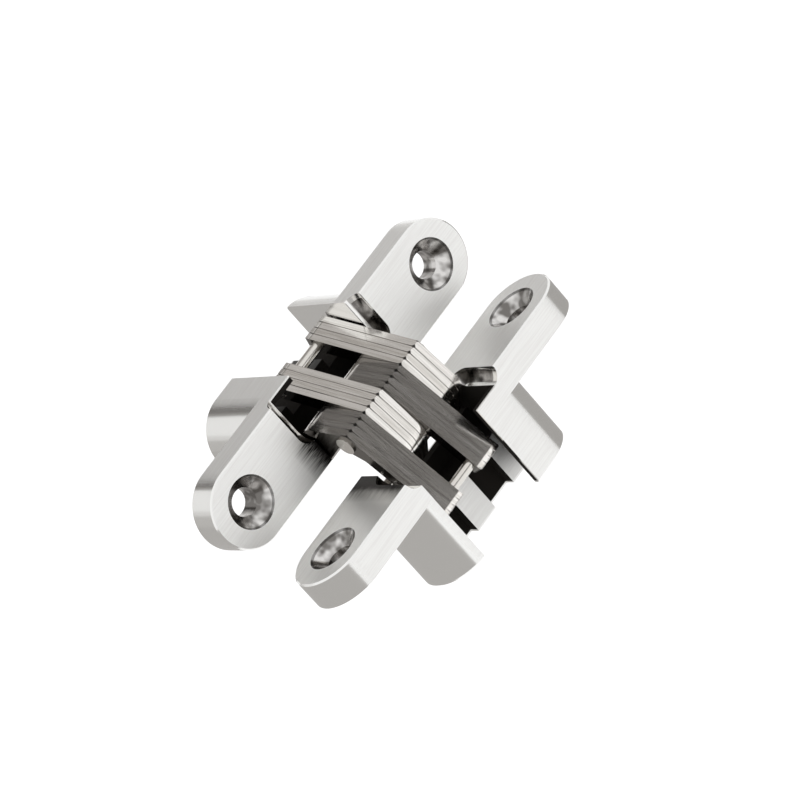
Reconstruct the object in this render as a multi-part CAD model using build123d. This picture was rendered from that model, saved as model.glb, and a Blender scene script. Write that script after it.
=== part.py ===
from build123d import *
import math
import os

# Concealed cross-link hinge, drawn open at a right angle, in millimetres.
# Each leaf is a die-cast plate with a mortise body behind it. Two packs of
# stamped steel plates cross on a centre pin. Each pack turns on a pin in one
# leaf and carries a slider pin that travels down the body of the other leaf.
# The fixed leaf lies face up: X runs across it towards its outer edge, Y runs
# along the hinge and Z is up. Pieces are drawn from the centre of its face, and
# then raised so that the origin is on the back of its plate, where it seats.

# Leaf plate and mortise body
LEAF_LENGTH = 60.0
LEAF_WIDTH = 12.7
PLATE_THICKNESS = 4.8
BODY_LENGTH = 30.6
BODY_DEPTH = 17.0
FACE_EDGE = 0.25
BODY_EDGE = 0.4

# Screw holes
SCREW_SPACING = 46.2
SCREW_DIAMETER = 4.2
SINK_DIAMETER = 7.8
SINK_ANGLE = 90.0

# Pocket for the links
END_CLEARANCE = 0.225
INNER_WALL = 1.75
INNER_WALL_TOP = 6.2
LEDGE_TOP = 9.5
LEDGE_FACE = -1.5
GUIDE_FACE = 0.2
OUTER_WALL = 1.1
SIDE_CLEARANCE = 0.1

# Relief milled across the outer half of the face, with ball-nosed ends
RELIEF_DEPTH = 2.1
RELIEF_INNER = 0.0
RELIEF_RUN_IN = 0.1

# Linkage: where the two faces would meet, and the three pin axes of a link
CORNER_REACH = 9.6
CENTRE_RISE = 8.6
PIVOT_ACROSS = -5.2
PIVOT_DEPTH = 3.7

# Outline of a link plate, seen along the hinge from its centre pin
RIDGE_RISE = 2.5
ARM_SLOPE = 25.0
ARM_WIDTH = 2.5
SLIDER_REACH = 16.5
ARM_END = 1.7
HEEL_SLOPE = 32.0
HEEL_REACH = 8.8
HEEL_END_RADIUS = 2.0
UNDERSIDE_DROP = 1.75
CROTCH_OFFSET = 1.1
SHOULDER_RADIUS = 3.0
CROTCH_RADIUS = 0.8
ARM_ROOT_RADIUS = 1.2

# Stack of plates
PLATE_GAUGE = 1.15
PLATES_IN_GROUP = 4
GROUP_GAP = 0.05
DIE_ROLL = 0.16

# Pins
PIVOT_PIN_DIAMETER = 1.6
PIVOT_PIN_SEAT = 3.0
CENTRE_PIN_DIAMETER = 2.5
RIVET_HEAD_DIAMETER = 3.0
RIVET_HEAD_HEIGHT = 0.3
SLIDER_PIN_DIAMETER = 1.7
PIN_CHAMFER = 0.2
RUNNING_CLEARANCE = 0.04
SEAT_CLEARANCE = 0.01

HALF_WIDTH = LEAF_WIDTH / 2
GROUP_LENGTH = PLATES_IN_GROUP * PLATE_GAUGE
GROUP_PITCH = GROUP_LENGTH + GROUP_GAP
STACK_HALF = 2 * GROUP_PITCH - GROUP_GAP / 2
POCKET_HALF = STACK_HALF + END_CLEARANCE
OUTER_WALL_FACE = HALF_WIDTH - OUTER_WALL
PAST = 5.0

# The centre pin lies on the bisector of the two faces
CENTRE_X = -CORNER_REACH + CENTRE_RISE / math.sqrt(2)
CENTRE_Z = CENTRE_RISE / math.sqrt(2)
HALF_TURN_AXIS = Axis((-CORNER_REACH, 0, 0), (1, 0, 1))


def span_box(across, along, up):
    """A box from its low and high limits across, along and up."""
    size = [high - low for low, high in (across, along, up)]
    middle = [(high + low) / 2 for low, high in (across, along, up)]
    return Pos(*middle) * Box(*size)


def along_hinge(radius, low, high, across, height):
    """A round bar that runs along the hinge from low to high."""
    bar = Rot(-90, 0, 0) * Cylinder(radius, high - low)
    return Pos(across, (low + high) / 2, height) * bar


def pin(diameter, low, high, across, height):
    """A pin with broken edges."""
    bar = along_hinge(diameter / 2, low, high, across, height)
    return chamfer(bar.edges().filter_by(GeomType.CIRCLE), PIN_CHAMFER)


def centre_rivet():
    """The centre pin, with a flat head closed over the stack at each end."""
    shape = along_hinge(CENTRE_PIN_DIAMETER / 2, -STACK_HALF, STACK_HALF, CENTRE_X, CENTRE_Z)
    reach = STACK_HALF + RIVET_HEAD_HEIGHT
    for low, high in ((-reach, -STACK_HALF), (STACK_HALF, reach)):
        shape += along_hinge(RIVET_HEAD_DIAMETER / 2, low, high, CENTRE_X, CENTRE_Z)
    return shape


def link_plane(height_along):
    """The plane of a plate's outline: origin on the centre pin, y up the bisector."""
    return Plane(
        origin=(CENTRE_X, height_along, CENTRE_Z),
        x_dir=(1, 0, -1),
        z_dir=(0, -1, 0),
    )


def group_start(index):
    """Where a group of plates starts along the hinge, counted from its low end."""
    return (index - 2) * GROUP_PITCH + GROUP_GAP / 2


def pivot_in_link():
    """The pivot axis in the link's own outline plane."""
    local = link_plane(0).to_local_coords(Vector(PIVOT_ACROSS, 0, -PIVOT_DEPTH))
    return local.X, local.Y


def slider_in_link():
    """The slider axis in the link's own outline plane, on the arm's middle line."""
    slope = math.radians(ARM_SLOPE)
    half = ARM_WIDTH / 2
    across = -SLIDER_REACH * math.cos(slope) + half * math.sin(slope)
    up = RIDGE_RISE - SLIDER_REACH * math.sin(slope) - half * math.cos(slope)
    return across, up


def link_outline():
    """The stamped outline: a heel on the pivot and a long arm to the slider."""
    slope = math.radians(ARM_SLOPE)
    heel = math.radians(HEEL_SLOPE)
    arm_length = SLIDER_REACH + ARM_END
    pivot_x, pivot_y = pivot_in_link()
    ridge = (0, RIDGE_RISE)
    shoulder = (HEEL_REACH * math.cos(heel), RIDGE_RISE - HEEL_REACH * math.sin(heel))
    heel_right = (pivot_x + HEEL_END_RADIUS, pivot_y - HEEL_END_RADIUS)
    heel_left = (pivot_x - HEEL_END_RADIUS, pivot_y - HEEL_END_RADIUS)
    crotch = (CROTCH_OFFSET, -UNDERSIDE_DROP)
    root_x = (ARM_WIDTH - (RIDGE_RISE + UNDERSIDE_DROP) * math.cos(slope)) / math.sin(slope)
    root = (root_x, -UNDERSIDE_DROP)
    tip_top = (-arm_length * math.cos(slope), RIDGE_RISE - arm_length * math.sin(slope))
    tip_low = (
        tip_top[0] + ARM_WIDTH * math.sin(slope),
        tip_top[1] - ARM_WIDTH * math.cos(slope),
    )
    corners = [ridge, shoulder, heel_right, heel_left, crotch, root, tip_low, tip_top]
    outline = make_face(Polyline(*corners, close=True))
    heel_round = HEEL_END_RADIUS - SEAT_CLEARANCE
    rounds = [
        (shoulder, SHOULDER_RADIUS),
        (heel_right, heel_round),
        (heel_left, heel_round),
        (crotch, CROTCH_RADIUS),
        (root, ARM_ROOT_RADIUS),
    ]
    for corner, radius in rounds:
        outline = fillet(outline.vertices().sort_by_distance(corner)[0], radius)
    return outline


def link_plate(start):
    """One stamped plate, with its three holes and a rolled edge on one side."""
    plane = link_plane(start + PLATE_GAUGE)
    plate = extrude(plane * link_outline(), amount=PLATE_GAUGE)
    rolled = plate.faces().sort_by(Axis.Y)[-1]
    plate = chamfer(rolled.edges(), DIE_ROLL)
    holes = [
        (pivot_in_link(), PIVOT_PIN_DIAMETER),
        ((0, 0), CENTRE_PIN_DIAMETER),
        (slider_in_link(), SLIDER_PIN_DIAMETER),
    ]
    for place, diameter in holes:
        hole = Pos(*place) * Circle(diameter / 2 + RUNNING_CLEARANCE)
        plate -= extrude(plane * hole, amount=PLATE_GAUGE)
    return plate


def leaf_blank():
    """The plate and the mortise body, with softened edges and screw holes."""
    plate = extrude(SlotOverall(LEAF_LENGTH, LEAF_WIDTH, rotation=90), amount=-PLATE_THICKNESS)
    plate = chamfer(plate.faces().sort_by(Axis.Z)[-1].edges(), FACE_EDGE)
    body = extrude(SlotOverall(BODY_LENGTH, LEAF_WIDTH, rotation=90), amount=-BODY_DEPTH)
    body = chamfer(body.faces().sort_by(Axis.Z)[0].edges(), BODY_EDGE)
    body &= span_box((-LEAF_WIDTH, LEAF_WIDTH), (-BODY_LENGTH, BODY_LENGTH), (-BODY_DEPTH, -FACE_EDGE))
    blank = plate + body
    sink_depth = (SINK_DIAMETER - SCREW_DIAMETER) / 2 / math.tan(math.radians(SINK_ANGLE / 2))
    for side in (-1, 1):
        place = Pos(0, side * SCREW_SPACING / 2, 0)
        blank -= place * Cylinder(SCREW_DIAMETER / 2, 2 * PLATE_THICKNESS + PAST)
        sink = Cone(SCREW_DIAMETER / 2, SINK_DIAMETER / 2, sink_depth)
        blank -= place * Pos(0, 0, -sink_depth / 2) * sink
    return blank


def leaf_pocket():
    """The hollow for the links: open at the face, the back and most of the outer side."""
    inner = -HALF_WIDTH - PAST
    along = (-POCKET_HALF, POCKET_HALF)
    outer = OUTER_WALL_FACE
    below = -BODY_DEPTH - PAST
    hollow = span_box((inner, outer), along, (-INNER_WALL_TOP, PAST))
    hollow += span_box((-HALF_WIDTH + INNER_WALL, outer), along, (-LEDGE_TOP, PAST))
    hollow += span_box((LEDGE_FACE, outer), along, (below, PAST))
    side = (-POCKET_HALF, group_start(3) - GROUP_GAP / 2 + SIDE_CLEARANCE)
    hollow += span_box((LEDGE_FACE, HALF_WIDTH + PAST), side, (below, PAST))
    return hollow


def leaf_guides():
    """The ledges that the slider pin runs along, one in each heel's span."""
    across = (LEDGE_FACE - INNER_WALL, GUIDE_FACE)
    up = (-BODY_DEPTH, -LEDGE_TOP)
    guides = []
    for index in (1, 3):
        low = group_start(index) - GROUP_GAP / 2 + SIDE_CLEARANCE
        high = group_start(index) + GROUP_LENGTH + GROUP_GAP / 2 - SIDE_CLEARANCE
        if index == 3:
            high = POCKET_HALF + INNER_WALL
        guides.append(span_box(across, (low, high), up))
    return guides


def leaf_relief():
    """The milled relief that clears the ends of the centre pin when the hinge is shut."""
    centre = POCKET_HALF - END_CLEARANCE - RELIEF_RUN_IN
    reach = HALF_WIDTH + PAST
    relief = span_box((RELIEF_INNER, reach), (-centre, centre), (-RELIEF_DEPTH, PAST))
    for side in (-1, 1):
        groove = Rot(0, 90, 0) * Cylinder(RELIEF_DEPTH, reach - RELIEF_INNER)
        relief += Pos((RELIEF_INNER + reach) / 2, side * centre, 0) * groove
        relief += Pos(RELIEF_INNER, side * centre, 0) * Sphere(RELIEF_DEPTH)
    return relief


def leaf():
    """A finished leaf, lying face up."""
    pivot_reach = POCKET_HALF + PIVOT_PIN_SEAT + PIN_CHAMFER
    bore_radius = PIVOT_PIN_DIAMETER / 2 + SEAT_CLEARANCE
    shape = leaf_blank() - leaf_pocket()
    for guide in leaf_guides():
        shape += guide
    shape -= leaf_relief()
    shape -= along_hinge(bore_radius, -pivot_reach, pivot_reach, PIVOT_ACROSS, -PIVOT_DEPTH)
    return shape


def other_side(shape):
    """The same piece on the other leaf: half a turn about the bisector of the faces."""
    return shape.rotate(HALF_TURN_AXIS, 180)


def fixed_side_pieces():
    """The fixed leaf, its pivot pin, and the pack of plates that turns on it."""
    pieces = {"leaf": leaf()}
    seat = POCKET_HALF + PIVOT_PIN_SEAT
    pieces["pivot_pin"] = pin(PIVOT_PIN_DIAMETER, -seat, seat, PIVOT_ACROSS, -PIVOT_DEPTH)
    slider = link_plane(0).from_local_coords(Vector(*slider_in_link(), 0))
    low = group_start(1)
    high = group_start(3) + GROUP_LENGTH
    pieces["slider_pin"] = pin(SLIDER_PIN_DIAMETER, low, high, slider.X, slider.Z)
    number = 1
    for index in (1, 3):
        for layer in range(PLATES_IN_GROUP):
            start = group_start(index) + layer * PLATE_GAUGE
            pieces[f"link_plate_{number}"] = link_plate(start)
            number += 1
    return pieces


def all_pieces():
    """Every piece by its node's name."""
    pieces = {}
    for name, shape in fixed_side_pieces().items():
        pieces[f"fixed_{name}"] = shape
        pieces[f"moving_{name}"] = other_side(shape)
    pieces["centre_pin"] = centre_rivet()
    return {name: Pos(0, 0, PLATE_THICKNESS) * shape for name, shape in pieces.items()}


os.makedirs("parts", exist_ok=True)
for node, solid in all_pieces().items():
    export_step(solid, f"parts/{node}.step")
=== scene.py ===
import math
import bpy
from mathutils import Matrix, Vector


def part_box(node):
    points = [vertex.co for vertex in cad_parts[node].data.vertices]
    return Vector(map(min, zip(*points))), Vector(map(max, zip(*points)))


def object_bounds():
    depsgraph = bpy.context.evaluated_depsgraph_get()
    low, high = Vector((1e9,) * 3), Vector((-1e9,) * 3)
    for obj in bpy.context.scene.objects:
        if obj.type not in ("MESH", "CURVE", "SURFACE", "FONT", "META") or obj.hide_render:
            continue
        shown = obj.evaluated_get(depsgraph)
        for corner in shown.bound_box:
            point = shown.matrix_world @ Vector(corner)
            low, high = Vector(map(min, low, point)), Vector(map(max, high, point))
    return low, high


bl_info = {
    "name": "Table Leaf Hinge Finisher",
    "version": (1, 0, 0),
    "blender": (4, 5, 0),
    "location": "3D View > Sidebar > Hinge",
    "description": "Gives a concealed cross-link hinge its metal finishes and sets it in a studio",
    "category": "Object",
}

import bpy
from bpy.props import FloatProperty, FloatVectorProperty, PointerProperty
from mathutils import Matrix, Vector

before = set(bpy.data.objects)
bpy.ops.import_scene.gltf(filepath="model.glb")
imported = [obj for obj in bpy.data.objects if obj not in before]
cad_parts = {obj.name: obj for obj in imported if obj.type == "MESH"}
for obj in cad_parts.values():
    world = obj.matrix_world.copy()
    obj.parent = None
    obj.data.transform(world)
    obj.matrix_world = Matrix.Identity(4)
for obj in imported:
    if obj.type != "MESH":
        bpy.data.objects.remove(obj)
CAD_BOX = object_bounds()

MM = 0.001
WHITE = (1, 1, 1, 1)

# Pieces by kind
PLATES = sorted(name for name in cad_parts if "link_plate" in name)
PINS = sorted(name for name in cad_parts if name.endswith("_pin"))

# The way along the hinge, in which the plates are stacked
ALONG = Vector((0, 1, 0))

# Each leaf's face normal, the way across it to its outer edge, and the way that the open end wall faces
LEAF_WAYS = {
    "fixed_leaf": (Vector((0, 0, 1)), Vector((1, 0, 0)), ALONG),
    "moving_leaf": (Vector((1, 0, 0)), Vector((0, 0, 1)), -ALONG),
}

# Ends of the stack of plates, just past which each leaf's pocket ends, and the room that one plate takes
STACK_LOW = min(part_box(name)[0].y for name in PLATES)
STACK_HIGH = max(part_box(name)[1].y for name in PLATES)
PLATE_PITCH = (STACK_HIGH - STACK_LOW) / len(PLATES)

# The way that the ridge of the links points
RIDGE_WAY = Vector((1, 0, 1)).normalized()

# The way that each link's long arms run from the ridge, at a slope to the leaf that the link is hung in
ARM_SLOPE = math.radians(20)
ARM_WAYS = {
    "fixed_link": Vector((-math.cos(ARM_SLOPE), 0, math.sin(ARM_SLOPE))),
    "moving_link": Vector((math.sin(ARM_SLOPE), 0, -math.cos(ARM_SLOPE))),
}

# How squarely a surface has to face one way, from -1 to 1, to count as facing it
FACES = 0.7
FACES_SQUARELY = 0.98
PLATE_FLAT = 0.95

# How squarely a leaf's side faces its way where it starts to be ground, and where it is wholly ground
GROUND_FROM, GROUND_FULL = 0.95, 0.995

# Middle and half span of how squarely cut walls face the front, and rolled edges along the hinge
HOLE_WALLS = (0.4, 0.5)
SCOOP_SLOPES = (0.55, 0.35)
ROLLED_EDGES = (0.7, 0.2)

# Detail of the noise: fine inside a mark, little inside a patch, and none from plate to plate
GRAIN_DETAIL = 3.0
PATCH_DETAIL = 1.0
BATCH_DETAIL = 0.0

# Metres along which a grain is too long to change on a piece
EVEN_RUN = 1.0

# Noise levels between which each pattern goes from one look to the other
GRAIN_LOW, GRAIN_HIGH = 0.35, 0.65
PATCH_LOW, PATCH_HIGH = 0.38, 0.62
MARK_LOW, MARK_HIGH = 0.4, 0.6
SCORE_LOW, SCORE_HIGH = 0.3, 0.7
STEEL_LOW, STEEL_HIGH = 0.75, 1.15
SEAM_LOW, SEAM_HIGH = 0.45, 0.65

# How dark the faintest drag mark is, and how much painted shade the lightest and the darkest seam hold
MARK_LEAST = 0.45
SEAM_SHADE_LEAST, SEAM_SHADE_MOST = 0.03, 0.32

# How far from its middle a notch's painted shade starts and where it is wholly dark, as a share of its size
NOTCH_EDGE, NOTCH_DARK = 1.0, 0.6

# Roughness that the bottom of a score adds and its top takes away
SCORE_DULLS, SCORE_SHINES = 0.06, 0.04

# How strongly brush marks and scores tilt the surface, and the power of the curve that rounds an arm's tip
BRUSH_BUMP = 0.06
SCORE_BUMP = 0.03
TIP_POWER = 2.0

# Sockets of a Mix node that mixes colours
MIX_SHARE, MIX_UNDER, MIX_OVER = 0, 6, 7
MIX_RESULT = 2


def farthest(way, prefix=""):
    """How far the plates of a link reach one way of the hinge's frame."""
    plates = [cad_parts[name].data for name in PLATES if name.startswith(prefix)]
    return max(way.dot(corner.co) for plate in plates for corner in plate.vertices)


RIDGE_TOP = farthest(RIDGE_WAY)


def linear_from_hex(text):
    """The linear colour of an sRGB hex value, as three numbers, by the curve of the sRGB standard."""
    toe, slope, offset, power = 0.04045, 12.92, 0.055, 2.4
    parts = [int(text[place:place + 2], 16) / 255 for place in (1, 3, 5)]
    return [part / slope if part <= toe else ((part + offset) / (1 + offset)) ** power for part in parts]


def colour(label, text, default):
    """A colour setting with its default as an sRGB hex value."""
    return FloatVectorProperty(
        name=label,
        description=text,
        subtype="COLOR",
        size=4,
        min=0,
        max=1,
        default=(*linear_from_hex(default), 1),
    )


def length(label, text, millimetres):
    """A length setting with its default in millimetres."""
    return FloatProperty(
        name=label,
        description=text,
        unit="LENGTH",
        min=0,
        precision=5,
        default=millimetres * MM,
    )


def angle(label, text, degrees):
    """An angle setting with its default in degrees."""
    return FloatProperty(
        name=label,
        description=text,
        subtype="ANGLE",
        default=math.radians(degrees),
    )


def share(label, text, default):
    """A setting from 0 to 1."""
    return FloatProperty(name=label, description=text, subtype="FACTOR", min=0, max=1, default=default)


class HingeFinishSettings(bpy.types.PropertyGroup):
    """Colours and grain of the leaves, plates and pins"""

    nickel_colour: colour("Nickel", "Satin nickel on the leaves", "#EEEEEC")
    nickel_shade: colour("Nickel Shade", "Bottom of the brush marks", "#E6E5E3")
    # Painted reflections: bright and dark patches in the mirror-like countersinks and scoops
    cut_highlight_colour: colour("Cut", "Bright patches of the countersinks and scoops", "#DAD8D6")
    cut_reflected_shade: colour("Cut Shade", "Dull patches of the countersinks and scoops", "#74716E")
    # Painted shade in the scoops, along the countersinks' lips, in the ridge notches and as the shadow of
    # the links, and also the drag marks
    smear_and_shade_colour: colour("Smear", "Drag marks, and grease in corners", "#232120")
    # Painted shade inside the pocket
    pocket_shade_colour: colour("Pocket", "Unpolished casting inside the pocket", "#373431")
    steel_colour: colour("Steel", "Sheared edge of a link plate", "#F0EDE9")
    steel_shade: colour("Steel Shade", "Scores on the sheared edge", "#D8D4CE")
    # Painted shade in the seams between plates
    seam_shade_colour: colour("Grime", "Grease in the seams between plates", "#6A655F")
    # The flat of a plate: its rolled skin, painted dark as the shade that it mirrors
    rolled_skin_shade_colour: colour("Rolled Skin", "Flat of a link plate", "#6E6A65")
    pin_colour: colour("Pin", "Turned steel pins", "#DCD9D4")
    nickel_roughness: share("Nickel Roughness", "Roughness of the brushed faces", 0.4)
    mirror_roughness: share("Mirror Roughness", "Roughness of the curved and cut sides", 0.16)
    steel_roughness: share("Steel Roughness", "Roughness of the sheared edges", 0.16)
    pin_roughness: share("Pin Roughness", "Roughness of the pins", 0.2)
    # Real brush marks and scores are too fine to show, so their widths are as coarse as they need to be
    brush_width: length("Brush Width", "Width of one brush mark, drawn coarser than it is", 0.2)
    brush_run: length("Brush Run", "Length of one brush mark", 8.0)
    score_width: length("Score Width", "Width of one score, drawn coarser than it is", 0.16)
    score_run: length("Score Run", "Length of one score on a sheared edge", 6.0)
    mark_depth: length("Mark Depth", "Depth of a brush mark or score", 0.02)
    # Size of the patches of painted reflection
    reflection_patch_size: length("Patch Size", "Size of one dull patch in a countersink", 1.7)
    cut_inset: length("Cut Inset", "From the leaf's edge to where a scoop may start", 0.9)
    screw_spacing: length("Screw Spacing", "From one screw hole of a leaf to the other", 46.2)
    sink_diameter: length("Sink Diameter", "Diameter of a countersink", 7.8)
    # The painted shade line inside each countersink's lip
    lip_width: length("Lip Width", "Width of the dark line round a countersink, inside its lip", 0.28)
    lip_dark_shade: share("Lip Dirt", "How dark that line is", 0.6)
    # How dark the painted shade in the scoops is
    scoop_dark_shade: share("Scoop Dirt", "How dark the grease in the scoops is", 0.4)
    tip_round: length("Tip Round", "Length of the rounded tip of a link arm", 0.9)
    # How far the painted seam shade runs down from the ridge
    ridge_reach: length("Ridge Reach", "How far the dark seams run down from the ridge of the links", 1.1)
    # The notches at the ridge are painted dark as shade
    notch_width: length("Notch Width", "Width of the dark notch where a seam crosses the ridge", 0.8)
    notch_drop: length("Notch Drop", "Height of that notch below the ridge", 0.22)
    # Extent of the drag marks and of the painted shadow of the links beside them
    fixed_smear_full: length("Fixed Smear Full", "From the links to where the fixed leaf's marks fade", 2.6)
    moving_smear_full: length("Moving Smear Full", "From the links to where the moving leaf's do", 1.8)
    smear_shade_fade: length("Smear Fade", "Length over which the drag marks fade", 2.6)
    fixed_black_end: length("Fixed Black End", "How far from the links the fixed leaf is black", 3.5)
    moving_black_end: length("Moving Black End", "How far from the links the moving leaf is black", 1.7)
    end_fade: length("End Fade", "Length over which the black fades, and the marks fade across", 1.0)
    end_ragged: length("End Ragged", "How unevenly the black ends", 6.0)
    fixed_smear_width: length("Fixed Smear Width", "How far across the fixed leaf the marks go", 14.0)
    moving_smear_width: length("Moving Smear Width", "How far across the moving leaf they go", 6.0)
    skin: length("Skin", "Depth below which the inside counts as pocket", 0.3)
    # Painted shade on the guide faces inside the pocket
    fixed_guide_dirt: share("Fixed Guide Dirt", "How dark the fixed leaf's guide faces are", 0.12)
    moving_guide_dirt: share("Moving Guide Dirt", "How dark the moving leaf's guide faces are", 0.8)


class HingeStageSettings(bpy.types.PropertyGroup):
    """Camera, floor and light"""

    azimuth: angle("Azimuth", "Camera's turn round the hinge", 63.31)
    elevation: angle("Elevation", "Camera's height above the horizon", 24.16)
    roll: angle("Roll", "Camera's roll, clockwise", 41.64)
    distance: length("Distance", "From the camera to its aim", 588.0)
    lens: FloatProperty(
        name="Lens",
        description="Focal length in millimetres",
        unit="CAMERA",
        default=187.5,
    )
    aim: FloatVectorProperty(
        name="Aim",
        description="Point that the camera looks at",
        subtype="TRANSLATION",
        default=(-3.40 * MM, 1.67 * MM, 8.47 * MM),
    )
    floor_colour: colour("Floor", "Pale floor", "#E7E7E7")
    floor_roughness: share("Floor Roughness", "Roughness of the floor", 0.9)
    floor_glow: share("Floor Glow", "Light of its own that keeps the floor white", 0.45)
    floor_drop: length("Floor Drop", "From the hinge's lowest point to the floor", 450.0)
    floor_size: length("Floor Size", "Width of the floor", 4000.0)
    card_distance: length("Card Distance", "From the hinge to the cards that it mirrors", 400.0)
    light_level: share("Light Level", "Strength of the surround on other surfaces", 0.8)


def own(settings, leaf, name):
    """A setting that each leaf has one of."""
    return getattr(settings, leaf.replace("leaf", name))


def add_node(tree, kind, inputs=(), **settings):
    """Adds a node with its settings and inputs.

    The inputs come by name, or in the order of the node's sockets. One that is a socket is linked, and any
    other is set.
    """
    node = tree.nodes.new(kind)
    for name, value in settings.items():
        setattr(node, name, value)
    for key, value in inputs.items() if isinstance(inputs, dict) else enumerate(inputs):
        if isinstance(value, bpy.types.NodeSocket):
            tree.links.new(value, node.inputs[key])
        else:
            node.inputs[key].default_value = value
    return node


def cleared_tree(owner):
    """The node tree of a new material or world, with nothing in it."""
    owner.use_nodes = True
    owner.node_tree.nodes.clear()
    return owner.node_tree


def shade(tree, inputs):
    """Ends a material's tree with the Principled shader and the output."""
    shader = add_node(tree, "ShaderNodeBsdfPrincipled", inputs)
    add_node(tree, "ShaderNodeOutputMaterial", {"Surface": shader.outputs["BSDF"]})


def layered_colour(tree, under, layers):
    """Lays colours over the one under them, each on its own share of the surface."""
    for cover, over in layers:
        inputs = {MIX_SHARE: cover, MIX_UNDER: under, MIX_OVER: over}
        under = add_node(tree, "ShaderNodeMix", inputs, data_type="RGBA").outputs[MIX_RESULT]
    return under


def drawn_grain(tree, sizes, detail=GRAIN_DETAIL):
    """A noise drawn out along the axes: sizes are its grain in metres along X, Y and Z."""
    place = add_node(tree, "ShaderNodeTexCoord").outputs["Object"]
    inputs = {"Vector": place, "Scale": [1 / size for size in sizes]}
    stretch = add_node(tree, "ShaderNodeMapping", inputs)
    inputs = {"Vector": stretch.outputs["Vector"], "Scale": 1.0, "Detail": detail}
    return add_node(tree, "ShaderNodeTexNoise", inputs).outputs["Fac"]


def reach(tree, way):
    """How far the surface lies one way of the hinge's frame, in metres."""
    place = add_node(tree, "ShaderNodeTexCoord").outputs["Object"]
    return add_node(tree, "ShaderNodeVectorMath", (place, way), operation="DOT_PRODUCT").outputs["Value"]


def facing(tree, way):
    """How squarely the surface faces one way of the hinge's frame, from -1 to 1."""
    normal = add_node(tree, "ShaderNodeTexCoord").outputs["Normal"]
    return add_node(tree, "ShaderNodeVectorMath", (normal, way), operation="DOT_PRODUCT").outputs["Value"]


def inside_box(tree, low, high):
    """1 inside a box of the hinge's frame, and 0 outside it."""
    place = add_node(tree, "ShaderNodeTexCoord").outputs["Object"]
    offset = add_node(tree, "ShaderNodeVectorMath", (place, (low + high) / 2), operation="SUBTRACT")
    apart = add_node(tree, "ShaderNodeVectorMath", (offset.outputs[0],), operation="ABSOLUTE")
    half = (high - low) / 2
    room = add_node(tree, "ShaderNodeVectorMath", (half, apart.outputs[0]), operation="SUBTRACT")
    least, *others = add_node(tree, "ShaderNodeSeparateXYZ", (room.outputs[0],)).outputs
    for other in others:
        least = add_node(tree, "ShaderNodeMath", (least, other), operation="MINIMUM").outputs[0]
    return add_node(tree, "ShaderNodeMath", (least, 0.0), operation="GREATER_THAN").outputs[0]


def ground_mask(tree, leaf):
    """1 on a leaf's flat sides, which are ground, and 0 on its curved and cut ones, which mirror."""
    sizes = []
    for way in LEAF_WAYS[leaf][:2]:
        size = add_node(tree, "ShaderNodeMath", (facing(tree, way),), operation="ABSOLUTE")
        sizes.append(size.outputs[0])
    flat = add_node(tree, "ShaderNodeMath", sizes, operation="MAXIMUM")
    ground = add_node(tree, "ShaderNodeMapRange", (flat.outputs[0], GROUND_FROM, GROUND_FULL))
    return ground.outputs[0]


def pocket_shade_mask(tree, leaf, settings):
    """Where the inside of a leaf's pocket is painted dark as shade: 1 on its walls, less on its guide faces
    and 0 on its open end wall.
    """
    _, outward, open_end = LEAF_WAYS[leaf]
    low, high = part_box(leaf)
    guide_side = (low + high).dot(outward) / 2 - settings.skin
    skin = Vector((settings.skin,) * 3)
    low, high = low + skin, high - skin
    low.y = STACK_LOW - settings.skin
    high.y = STACK_HIGH + settings.skin
    mask = inside_box(tree, low, high)
    beyond = add_node(tree, "ShaderNodeMath", (reach(tree, outward), guide_side), operation="GREATER_THAN")
    faces_out = add_node(tree, "ShaderNodeMath", (facing(tree, outward), FACES), operation="GREATER_THAN")
    # The guide faces take less painted shade
    guide = 1 - own(settings, leaf, "guide_dirt")
    for part in (beyond, faces_out):
        guide = add_node(tree, "ShaderNodeMath", (guide, part.outputs[0]), operation="MULTIPLY").outputs[0]
    end = add_node(tree, "ShaderNodeMath", (facing(tree, open_end), FACES), operation="GREATER_THAN")
    for bright in (guide, end.outputs[0]):
        less = add_node(tree, "ShaderNodeMath", (mask, bright), operation="SUBTRACT", use_clamp=True)
        mask = less.outputs[0]
    return mask


def hole_radius(tree, leaf, settings):
    """How far the surface is from the axis of the nearer screw hole of a leaf."""
    low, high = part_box(leaf)
    offsets = []
    for way in (LEAF_WAYS[leaf][1], ALONG):
        middle = (low + high).dot(way) / 2
        offset = add_node(tree, "ShaderNodeMath", (reach(tree, way), middle), operation="SUBTRACT")
        offsets.append(offset.outputs[0])
    across, along = offsets
    either = add_node(tree, "ShaderNodeMath", (along,), operation="ABSOLUTE")
    inputs = (either.outputs[0], settings.screw_spacing / 2)
    from_hole = add_node(tree, "ShaderNodeMath", inputs, operation="SUBTRACT")
    flat_offset = add_node(tree, "ShaderNodeCombineXYZ", (across, from_hole.outputs[0]))
    radius = add_node(tree, "ShaderNodeVectorMath", (flat_offset.outputs[0],), operation="LENGTH")
    return radius.outputs["Value"]


def hole_mask(tree, leaf, radius, settings):
    """1 on the cones and walls of a leaf's countersunk screw holes."""
    near = add_node(tree, "ShaderNodeMath", (radius, settings.sink_diameter / 2), operation="LESS_THAN")
    toward = facing(tree, LEAF_WAYS[leaf][0])
    wall = add_node(tree, "ShaderNodeMath", (toward, *HOLE_WALLS), operation="COMPARE")
    hole = add_node(tree, "ShaderNodeMath", (near.outputs[0], wall.outputs[0]), operation="MULTIPLY")
    return hole.outputs[0]


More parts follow.
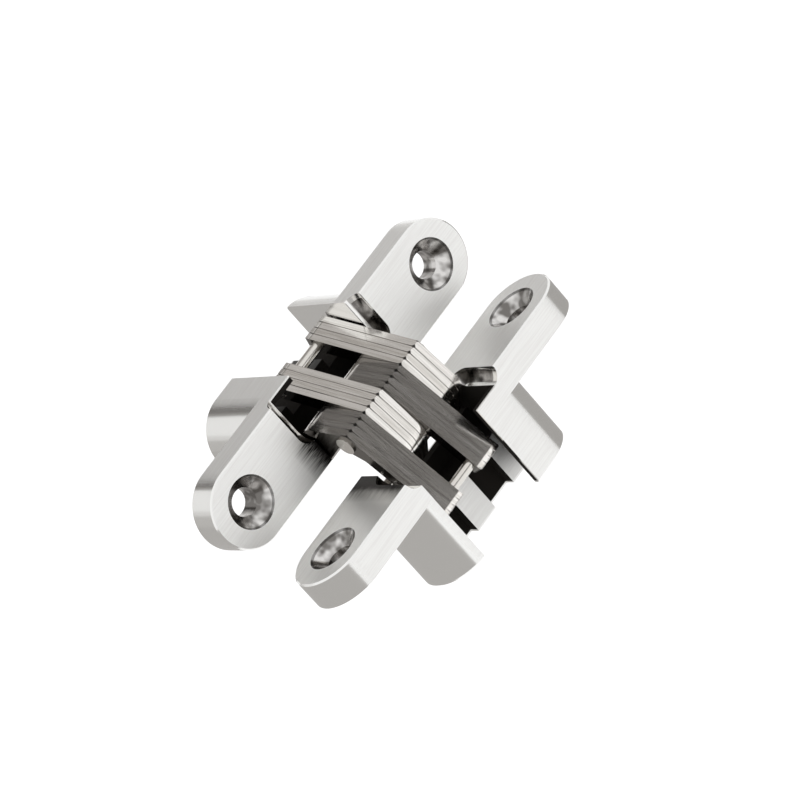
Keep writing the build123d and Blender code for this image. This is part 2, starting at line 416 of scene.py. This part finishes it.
def scoop_mask(tree, leaf, settings):
    """1 on a leaf's scoops, which slope and lie within its edges, between the screw holes."""
    front = LEAF_WAYS[leaf][0]
    low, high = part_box(leaf)
    middle = (low.y + high.y) / 2
    inset = (Vector((1, 1, 1)) - front) * settings.cut_inset
    low, high = low + inset, high - inset
    low.y = middle - (settings.screw_spacing - settings.sink_diameter) / 2
    high.y = middle + (settings.screw_spacing - settings.sink_diameter) / 2
    inner = inside_box(tree, low, high)
    slope = add_node(tree, "ShaderNodeMath", (facing(tree, front), *SCOOP_SLOPES), operation="COMPARE")
    scoop = add_node(tree, "ShaderNodeMath", (inner, slope.outputs[0]), operation="MULTIPLY")
    return scoop.outputs[0]


def cut_reflections(tree, radius, settings):
    """Painted reflections on the mirror-like cuts: patches of painted highlight and painted shade, with a
    painted shade line inside a countersink's lip.
    """
    # Patches of painted highlight and painted shade, standing in for reflections in the cuts
    patches = drawn_grain(tree, (settings.reflection_patch_size,) * 3, PATCH_DETAIL)
    bright = add_node(tree, "ShaderNodeMapRange", (patches, PATCH_LOW, PATCH_HIGH))
    # Painted shade in a line inside the countersink's lip
    inputs = (radius, settings.sink_diameter / 2, settings.lip_width)
    lip = add_node(tree, "ShaderNodeMath", inputs, operation="COMPARE")
    line = add_node(tree, "ShaderNodeMath", (lip.outputs[0], settings.lip_dark_shade), operation="MULTIPLY")
    layers = (
        (bright.outputs[0], settings.cut_highlight_colour),
        (line.outputs[0], settings.smear_and_shade_colour),
    )
    return layered_colour(tree, settings.cut_reflected_shade, layers)


def drag_marks_and_shade(tree, leaf, brush, settings):
    """How dark a leaf's face is at the low end of its pocket: the marks that the plates drag on it, and the
    painted shadow of the links beside them.
    """
    front, outward, _ = LEAF_WAYS[leaf]
    along = reach(tree, ALONG)
    streaks = add_node(tree, "ShaderNodeMapRange", (brush, MARK_LOW, MARK_HIGH, 1.0, MARK_LEAST))
    # Painted shadow of the links: the face is black beside them, and the black ends raggedly, along the
    # brush marks
    inputs = (brush, settings.end_ragged, along)
    ragged = add_node(tree, "ShaderNodeMath", inputs, operation="MULTIPLY_ADD")
    black_end = STACK_LOW - own(settings, leaf, "black_end") + settings.end_ragged / 2
    inputs = (ragged.outputs[0], black_end, black_end + settings.end_fade)
    black = add_node(tree, "ShaderNodeMapRange", inputs)
    darkest = add_node(tree, "ShaderNodeMath", (streaks.outputs[0], black.outputs[0]), operation="MAXIMUM")
    # The marks and the painted shadow fade away from the links, stop at them, keep to the face and start at
    # its inner edge
    full = STACK_LOW - own(settings, leaf, "smear_full")
    near = add_node(tree, "ShaderNodeMapRange", (along, full - settings.smear_shade_fade, full))
    before = add_node(tree, "ShaderNodeMath", (along, STACK_LOW), operation="LESS_THAN")
    toward = facing(tree, front)
    on_face = add_node(tree, "ShaderNodeMath", (toward, FACES_SQUARELY), operation="GREATER_THAN")
    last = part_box(leaf)[0].dot(outward) + own(settings, leaf, "smear_width")
    within = add_node(tree, "ShaderNodeMapRange", (reach(tree, outward), last, last - settings.end_fade))
    dark = darkest.outputs[0]
    for limit in (near, before, on_face, within):
        dark = add_node(tree, "ShaderNodeMath", (dark, limit.outputs[0]), operation="MULTIPLY").outputs[0]
    return dark


def satin_nickel(leaf, settings):
    """Zinc casting, ground along the hinge and nickel plated: bright, with long fine brush marks.

    The countersinks and scoops were cut after grinding, so they mirror, and carry painted reflections and
    painted shade. The pocket stays as cast, and is painted dark as shade.
    """
    material = bpy.data.materials.new("satin_nickel_on_" + leaf)
    tree = cleared_tree(material)
    brush = drawn_grain(tree, (settings.brush_width, settings.brush_run, settings.brush_width))
    ground = ground_mask(tree, leaf)
    tint = add_node(tree, "ShaderNodeMapRange", (brush, GRAIN_HIGH, GRAIN_LOW))
    brushed = add_node(tree, "ShaderNodeMath", (tint.outputs[0], ground), operation="MULTIPLY")
    radius = hole_radius(tree, leaf, settings)
    hole = hole_mask(tree, leaf, radius, settings)
    scoop = scoop_mask(tree, leaf, settings)
    cut = add_node(tree, "ShaderNodeMath", (hole, scoop), operation="MAXIMUM")
    # Painted shade darkens the scoops
    dark_shade = add_node(tree, "ShaderNodeMath", (scoop, settings.scoop_dark_shade), operation="MULTIPLY")
    # The inside of the pocket is painted dark as shade
    pocket = pocket_shade_mask(tree, leaf, settings)
    layers = (
        (brushed.outputs[0], settings.nickel_shade),
        (cut.outputs[0], cut_reflections(tree, radius, settings)),
        (dark_shade.outputs[0], settings.smear_and_shade_colour),
        (drag_marks_and_shade(tree, leaf, brush, settings), settings.smear_and_shade_colour),
        (pocket, settings.pocket_shade_colour),
    )
    # Ground sides are satin, and the bare casting is dull
    inputs = (ground, 0.0, 1.0, settings.mirror_roughness, settings.nickel_roughness)
    satin = add_node(tree, "ShaderNodeMapRange", inputs)
    rough = add_node(tree, "ShaderNodeMath", (satin.outputs[0], pocket), operation="ADD", use_clamp=True)
    height = add_node(tree, "ShaderNodeMath", (brush, ground), operation="MULTIPLY")
    inputs = {"Height": height.outputs[0], "Strength": BRUSH_BUMP, "Distance": settings.mark_depth}
    bump = add_node(tree, "ShaderNodeBump", inputs)
    shade(tree, {
        "Base Color": layered_colour(tree, settings.nickel_colour, layers),
        "Metallic": 1,
        "Roughness": rough.outputs[0],
        "Normal": bump.outputs["Normal"],
    })
    return material


def seam_painted_shade(tree, edge, batch, rise, settings):
    """How much painted shade darkens the seams between plates, on the rolled edge of each plate, which
    slopes along the hinge.
    """
    rolled = add_node(tree, "ShaderNodeMath", (edge, *ROLLED_EDGES), operation="COMPARE")
    patchy = add_node(tree, "ShaderNodeMapRange", (batch, SEAM_LOW, SEAM_HIGH, SEAM_SHADE_LEAST, SEAM_SHADE_MOST))
    # The painted seam shade is darkest where the seams run up to the ridge of the links
    ridge = add_node(tree, "ShaderNodeMapRange", (rise, RIDGE_TOP - settings.ridge_reach, RIDGE_TOP))
    thick = add_node(tree, "ShaderNodeMath", (patchy.outputs[0], ridge.outputs[0]), operation="MAXIMUM")
    painted_shade = add_node(tree, "ShaderNodeMath", (rolled.outputs[0], thick.outputs[0]), operation="MULTIPLY")
    return painted_shade.outputs[0]


def seam_notch_shade(tree, rise, settings):
    """1 in the notch that the corners of the stamping leave where each seam crosses the ridge, which is
    painted dark as shade.
    """
    from_end = add_node(tree, "ShaderNodeMath", (reach(tree, ALONG), STACK_LOW), operation="SUBTRACT")
    inputs = (from_end.outputs[0], PLATE_PITCH / 2)
    from_seam = add_node(tree, "ShaderNodeMath", inputs, operation="PINGPONG")
    inputs = (from_seam.outputs[0], settings.notch_width / 2)
    aside = add_node(tree, "ShaderNodeMath", inputs, operation="DIVIDE")
    inputs = (rise, RIDGE_TOP - settings.notch_drop, RIDGE_TOP, 1.0, 0.0)
    below = add_node(tree, "ShaderNodeMapRange", inputs)
    away = add_node(tree, "ShaderNodeMath", (aside.outputs[0], below.outputs[0]), operation="ADD")
    return add_node(tree, "ShaderNodeMapRange", (away.outputs[0], NOTCH_EDGE, NOTCH_DARK)).outputs[0]


def plate_normal(tree, link, flat, settings):
    """A plate's normal, level along its rolled edges and rounded at the tips of its long arms."""
    # The rolled edge shades as the sheared edge does, so that only its painted seam shade shows
    normal = add_node(tree, "ShaderNodeTexCoord").outputs["Normal"]
    keep = add_node(tree, "ShaderNodeCombineXYZ", (1.0, flat, 1.0))
    level = add_node(tree, "ShaderNodeVectorMath", (normal, keep.outputs[0]), operation="MULTIPLY")
    turned = add_node(
        tree,
        "ShaderNodeVectorTransform",
        (level.outputs[0],),
        vector_type="NORMAL",
        convert_from="OBJECT",
        convert_to="WORLD",
    )
    # The shears round the tips
    run = reach(tree, ARM_WAYS[link])
    tip = farthest(ARM_WAYS[link], link)
    ramp = add_node(tree, "ShaderNodeMapRange", (run, tip - settings.tip_round, tip))
    drop = add_node(tree, "ShaderNodeMath", (ramp.outputs[0], TIP_POWER), operation="POWER")
    inputs = {
        "Height": drop.outputs[0],
        "Strength": 1.0,
        "Distance": settings.tip_round / 2,
        "Normal": turned.outputs[0],
    }
    return add_node(tree, "ShaderNodeBump", inputs, invert=True).outputs["Normal"]


def sheared_steel(link, settings):
    """Stamped plate: its sheared edge is bright and scored along the outline, and painted shade darkens the
    seams.

    The flat of the plate is painted dark, as its rolled skin and as the shade that it mirrors.
    """
    material = bpy.data.materials.new("sheared_steel_on_" + link)
    tree = cleared_tree(material)
    score = drawn_grain(tree, (settings.score_run, settings.score_width, settings.score_run))
    batch = drawn_grain(tree, (EVEN_RUN, PLATE_PITCH, EVEN_RUN), BATCH_DETAIL)
    both = add_node(tree, "ShaderNodeMath", (score, batch), operation="ADD")
    tint = add_node(tree, "ShaderNodeMapRange", (both.outputs[0], STEEL_LOW, STEEL_HIGH))
    edge = add_node(tree, "ShaderNodeMath", (facing(tree, ALONG),), operation="ABSOLUTE").outputs[0]
    flat = add_node(tree, "ShaderNodeMath", (edge, PLATE_FLAT), operation="GREATER_THAN").outputs[0]
    rise = reach(tree, RIDGE_WAY)
    layers = (
        (tint.outputs[0], settings.steel_colour),
        # Painted shade in the seams between plates
        (seam_painted_shade(tree, edge, batch, rise, settings), settings.seam_shade_colour),
        # Painted shade in the notches on the ridge
        (seam_notch_shade(tree, rise, settings), settings.smear_and_shade_colour),
        # The flats are painted dark as rolled skin and as mirrored shade
        (flat, settings.rolled_skin_shade_colour),
    )
    dull = settings.steel_roughness + SCORE_DULLS
    shiny = settings.steel_roughness - SCORE_SHINES
    rough = add_node(tree, "ShaderNodeMapRange", (score, SCORE_LOW, SCORE_HIGH, dull, shiny))
    inputs = {
        "Height": score,
        "Strength": SCORE_BUMP,
        "Distance": settings.mark_depth,
        "Normal": plate_normal(tree, link, flat, settings),
    }
    bump = add_node(tree, "ShaderNodeBump", inputs)
    shade(tree, {
        "Base Color": layered_colour(tree, settings.steel_shade, layers),
        "Metallic": 1,
        "Roughness": rough.outputs[0],
        "Normal": bump.outputs["Normal"],
    })
    return material


def turned_steel(settings):
    """Pins turned from bright bar: smooth, with faint rings."""
    material = bpy.data.materials.new("turned_steel_pin")
    tree = cleared_tree(material)
    rings = drawn_grain(tree, (EVEN_RUN, settings.score_width, EVEN_RUN))
    tint = add_node(tree, "ShaderNodeMapRange", (rings, GRAIN_LOW, GRAIN_HIGH))
    layers = ((tint.outputs[0], settings.pin_colour),)
    shade(tree, {
        "Base Color": layered_colour(tree, settings.steel_shade, layers),
        "Metallic": 1,
        "Roughness": settings.pin_roughness,
    })
    return material


def dress(name, material):
    """Gives a CAD piece its finish."""
    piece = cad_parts[name]
    piece.data.materials.clear()
    piece.data.materials.append(material)


class HINGE_OT_finish_leaves(bpy.types.Operator):
    """Satin nickel on the two cast leaves"""

    bl_idname = "hinge.finish_leaves"
    bl_label = "Finish Leaves"

    def execute(self, context):
        for leaf in LEAF_WAYS:
            dress(leaf, satin_nickel(leaf, context.scene.hinge_finish))
        return {"FINISHED"}


class HINGE_OT_finish_plates(bpy.types.Operator):
    """Sheared steel on the sixteen link plates"""

    bl_idname = "hinge.finish_plates"
    bl_label = "Finish Link Plates"

    def execute(self, context):
        for link in ARM_WAYS:
            steel = sheared_steel(link, context.scene.hinge_finish)
            for plate in PLATES:
                if plate.startswith(link):
                    dress(plate, steel)
        return {"FINISHED"}


class HINGE_OT_finish_pins(bpy.types.Operator):
    """Turned steel on the five pins"""

    bl_idname = "hinge.finish_pins"
    bl_label = "Finish Pins"

    def execute(self, context):
        steel = turned_steel(context.scene.hinge_finish)
        for pin in PINS:
            dress(pin, steel)
        return {"FINISHED"}


# Cards that the metal mirrors: name, ends round the hinge and above the horizon in degrees, grey level
CARDS = (
    ("right_dark_card", (4, 46), (5, 18), 0.1),
    ("top_card", (90, 172), (51, 80), 0.53),
    ("heel_dark_card", (105, 164), (37, 51), 0.09),
    ("far_high_card", (120, 156), (4, 36), 0.74),
    ("left_soft_card", (156, 164), (16, 37), 0.5),
    ("left_dark_card", (164, 182), (16, 44), 0.19),
    ("left_dim_card", (182, 187), (16, 44), 0.3),
    ("left_light_card", (187, 230), (17, 44), 0.88),
    ("left_fade_card", (194, 230), (11, 17), 0.72),
    ("left_mid_card", (194, 230), (-4, 11), 0.52),
    ("far_low_card", (58, 135), (-45, -6), 0.42),
    ("near_low_card", (150, 344), (-55, -4), 0.47),
)
CARD_STEPS = 12

# Tint of a black card, which fades to white on a white one
CARD_TINT = (1, 0.94, 0.89)

# How many times nearer and farther than its aim the camera sees
CLIP_RATIO = 100


def spread(ends):
    """Angles in radians at even steps between two ends in degrees."""
    first, last = ends
    return [math.radians(first + (last - first) * step / CARD_STEPS) for step in range(CARD_STEPS + 1)]


def glow_material(name, level):
    """A card of one even brightness, warmer where it is darker."""
    material = bpy.data.materials.new(name)
    tree = cleared_tree(material)
    tint = [1 - (1 - part) * (1 - level) for part in CARD_TINT]
    glow = add_node(tree, "ShaderNodeEmission", {"Color": (*tint, 1), "Strength": level})
    add_node(tree, "ShaderNodeOutputMaterial", {"Surface": glow.outputs[0]})
    return material


def sheet(name, rows, material):
    """A stage sheet through rows of points, which belongs to the studio and not to the hinge."""
    wide = len(rows[0])
    faces = [
        (low + place, low + place + 1, low + wide + place + 1, low + wide + place)
        for low in range(0, wide * (len(rows) - 1), wide)
        for place in range(wide - 1)
    ]
    mesh = bpy.data.meshes.new(name)
    mesh.from_pydata([point for row in rows for point in row], [], faces)
    mesh.materials.append(material)
    item = bpy.data.objects.new(name, mesh)
    bpy.context.scene.collection.objects.link(item)
    return item


def seen_or_mirrored(tree):
    """1 for what the camera sees directly, mirrored or through glass, and 0 for other light."""
    path = add_node(tree, "ShaderNodeLightPath")
    total = path.outputs["Is Camera Ray"]
    for name in ("Is Glossy Ray", "Is Transmission Ray"):
        inputs = (total, path.outputs[name])
        total = add_node(tree, "ShaderNodeMath", inputs, operation="MAXIMUM").outputs[0]
    return total


def make_world(settings):
    """A white surround: full white where it is seen or mirrored, softer as light."""
    world = bpy.data.worlds.new("studio_surround")
    tree = cleared_tree(world)
    inputs = (seen_or_mirrored(tree), 0.0, 1.0, settings.light_level, 1.0)
    level = add_node(tree, "ShaderNodeMapRange", inputs)
    back = add_node(tree, "ShaderNodeBackground", {"Color": WHITE, "Strength": level.outputs[0]})
    add_node(tree, "ShaderNodeOutputWorld", {"Surface": back.outputs[0]})
    bpy.context.scene.world = world


def make_floor(settings):
    """A white floor well below the hinge."""
    material = bpy.data.materials.new("white_floor")
    shade(cleared_tree(material), {
        "Base Color": settings.floor_colour,
        "Roughness": settings.floor_roughness,
        "Emission Color": WHITE,
        "Emission Strength": settings.floor_glow,
    })
    height = CAD_BOX[0].z - settings.floor_drop
    half = settings.floor_size / 2
    sheet("floor", [[Vector((x, y, height)) for x in (-half, half)] for y in (-half, half)], material)


def make_cards(settings):
    """Grey cards on a sphere round the hinge, which only its metal shows."""
    middle = Vector(settings.aim)
    for name, turns, rises, level in CARDS:
        rows = []
        for rise in spread(rises):
            ways = [Vector((math.cos(turn), math.sin(turn), math.tan(rise))) for turn in spread(turns)]
            rows.append([middle + way.normalized() * settings.card_distance for way in ways])
        card = sheet(name, rows, glow_material(name, level))
        card.visible_camera = False
        card.visible_diffuse = False
        card.visible_shadow = False


def make_camera(settings):
    """The photograph's view: round, up and rolled about the line of sight."""
    turn, rise, roll = settings.azimuth, settings.elevation, settings.roll
    toward = Vector((math.sin(turn), -math.cos(turn), math.tan(rise))).normalized()
    level = Vector((math.cos(turn), math.sin(turn), 0))
    upright = toward.cross(level)
    right = level * math.cos(roll) - upright * math.sin(roll)
    up = upright * math.cos(roll) + level * math.sin(roll)
    data = bpy.data.cameras.new("camera")
    data.lens = settings.lens
    data.clip_start = settings.distance / CLIP_RATIO
    data.clip_end = settings.distance * CLIP_RATIO
    camera = bpy.data.objects.new("camera", data)
    place = Vector(settings.aim) + toward * settings.distance
    camera.matrix_world = Matrix.Translation(place) @ Matrix((right, up, toward)).transposed().to_4x4()
    bpy.context.scene.collection.objects.link(camera)
    bpy.context.scene.camera = camera


class HINGE_OT_build_stage(bpy.types.Operator):
    """White surround, floor, mirrored cards and the camera"""

    bl_idname = "hinge.build_stage"
    bl_label = "Build Stage"

    def execute(self, context):
        settings = context.scene.hinge_stage
        context.scene.view_settings.view_transform = "Standard"
        make_world(settings)
        make_floor(settings)
        make_cards(settings)
        make_camera(settings)
        return {"FINISHED"}


class HINGE_PT_panel(bpy.types.Panel):
    """Lists the steps and the settings"""

    bl_idname = "HINGE_PT_panel"
    bl_label = "Table Leaf Hinge"
    bl_space_type = "VIEW_3D"
    bl_region_type = "UI"
    bl_category = "Hinge"

    def draw(self, context):
        for step in OPERATORS:
            self.layout.operator(step.bl_idname)
        for group in (context.scene.hinge_finish, context.scene.hinge_stage):
            for name in group.__annotations__:
                self.layout.prop(group, name)


OPERATORS = (
    HINGE_OT_finish_leaves,
    HINGE_OT_finish_plates,
    HINGE_OT_finish_pins,
    HINGE_OT_build_stage,
)
CLASSES = (HingeFinishSettings, HingeStageSettings, *OPERATORS, HINGE_PT_panel)


def register():
    for item in CLASSES:
        bpy.utils.register_class(item)
    bpy.types.Scene.hinge_finish = PointerProperty(type=HingeFinishSettings)
    bpy.types.Scene.hinge_stage = PointerProperty(type=HingeStageSettings)


def unregister():
    del bpy.types.Scene.hinge_stage
    del bpy.types.Scene.hinge_finish
    for item in reversed(CLASSES):
        bpy.utils.unregister_class(item)


def main():
    register()
    bpy.ops.hinge.finish_leaves()
    bpy.ops.hinge.finish_plates()
    bpy.ops.hinge.finish_pins()
    bpy.ops.hinge.build_stage()


if __name__ == "__main__":
    main()
